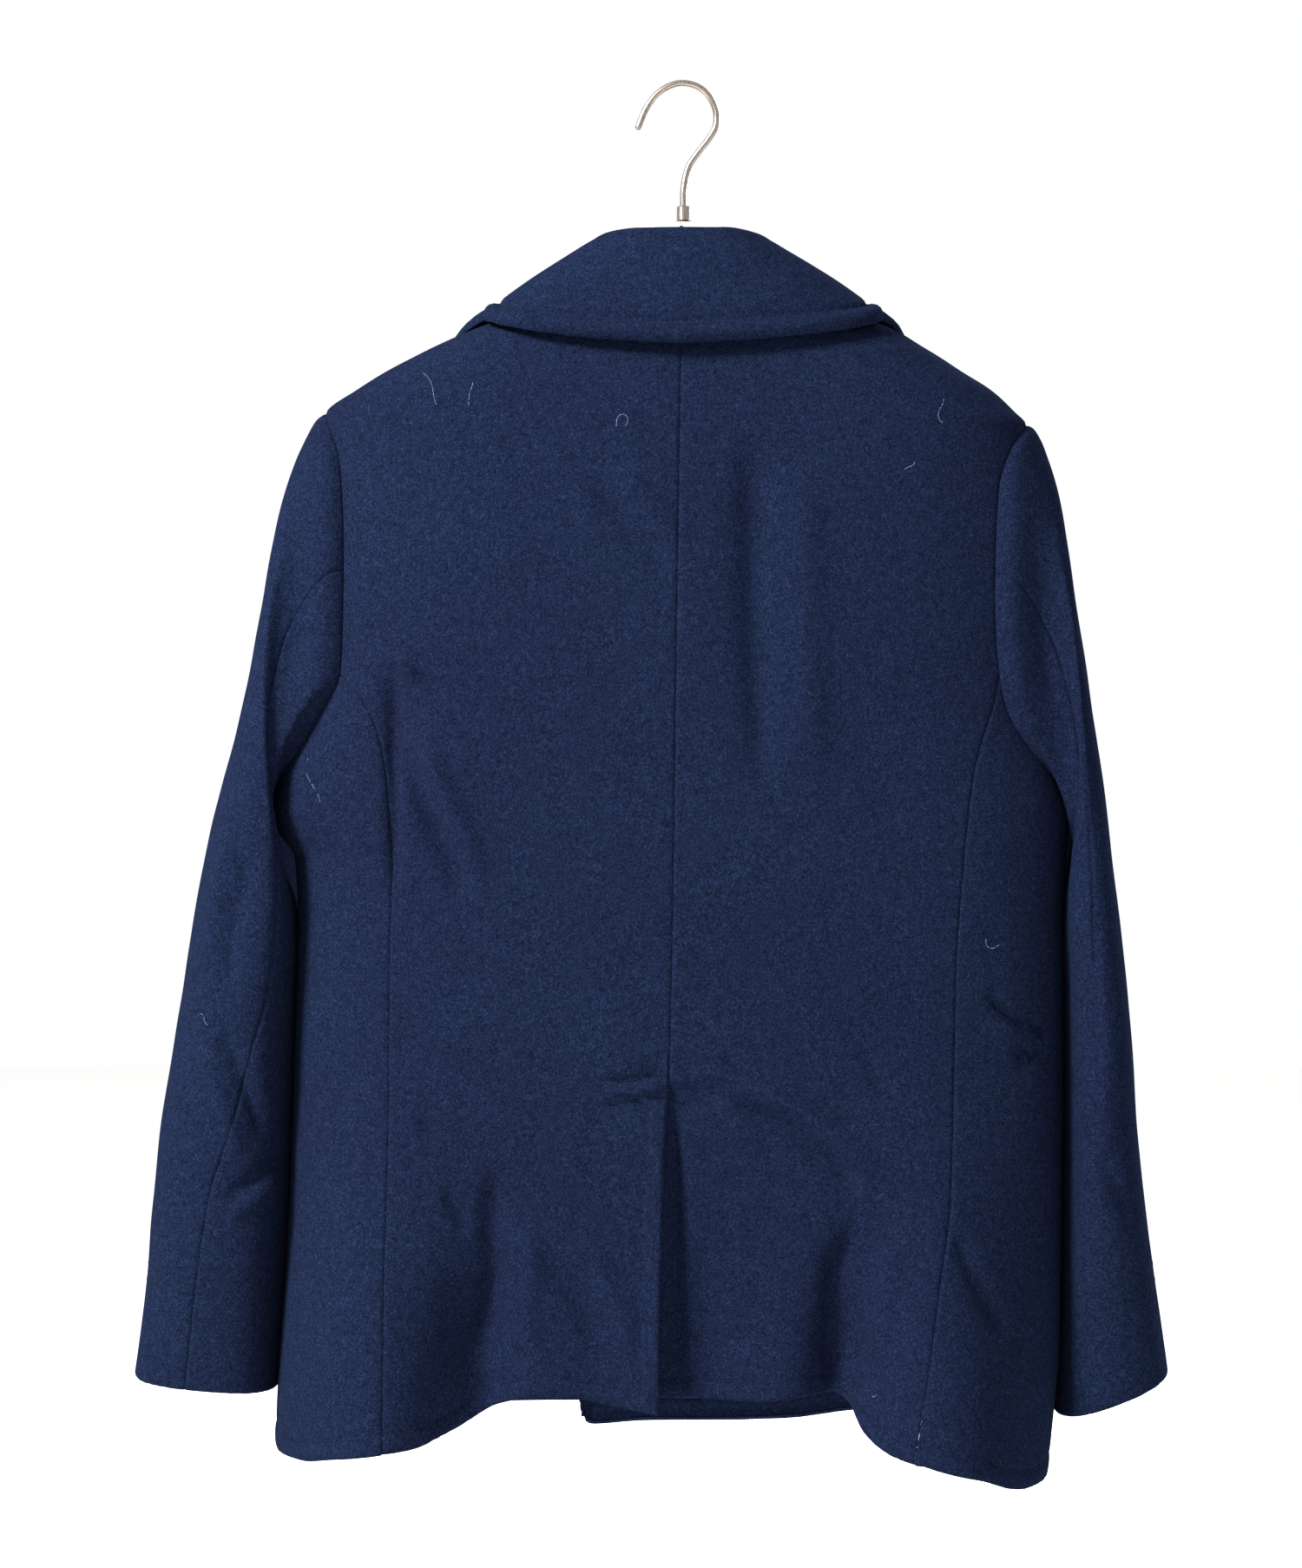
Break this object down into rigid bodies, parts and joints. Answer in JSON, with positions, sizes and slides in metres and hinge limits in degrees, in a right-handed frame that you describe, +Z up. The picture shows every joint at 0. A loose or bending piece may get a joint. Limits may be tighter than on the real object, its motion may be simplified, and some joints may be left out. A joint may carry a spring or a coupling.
{
  "type": "pea coat on hanger",
  "caption": "Double-breasted melton-wool pea coat with a wide collar, two-piece sleeves and a centre back vent, hanging open-hemmed on a shaped hanger with a steel hook",
  "frame": {"origin": "the inside top of the hook, where a rail carries the hanger", "axes": "+Z up; the coat's back faces -Y and its front faces +Y; the wearer's right side is at +X"},
  "size_m": [0.6866, 0.1844, 0.9228],
  "materials": {
    "melton": "matt navy melton wool with a short brushed nap",
    "button": "plain dark resin",
    "hook_steel": "satin nickel-plated steel wire",
    "hanger_plastic": "pale silver-grey moulded plastic"
  },
  "bodies": {
    "root": {"back_left": "melton", "back_right": "melton", "front_left": "melton", "front_right": "melton", "lapel_left": "melton", "lapel_right": "melton", "collar": "melton", "top_sleeve_left": "melton", "top_sleeve_right": "melton", "under_sleeve_left": "melton", "under_sleeve_right": "melton", "button_1": "button", "button_2": "button", "button_3": "button", "button_4": "button", "button_5": "button", "button_6": "button", "hanger_hook": "hook_steel", "hanger_ferrule": "hook_steel", "hanger_arms": "hanger_plastic"}
  },
  "joints": []
}
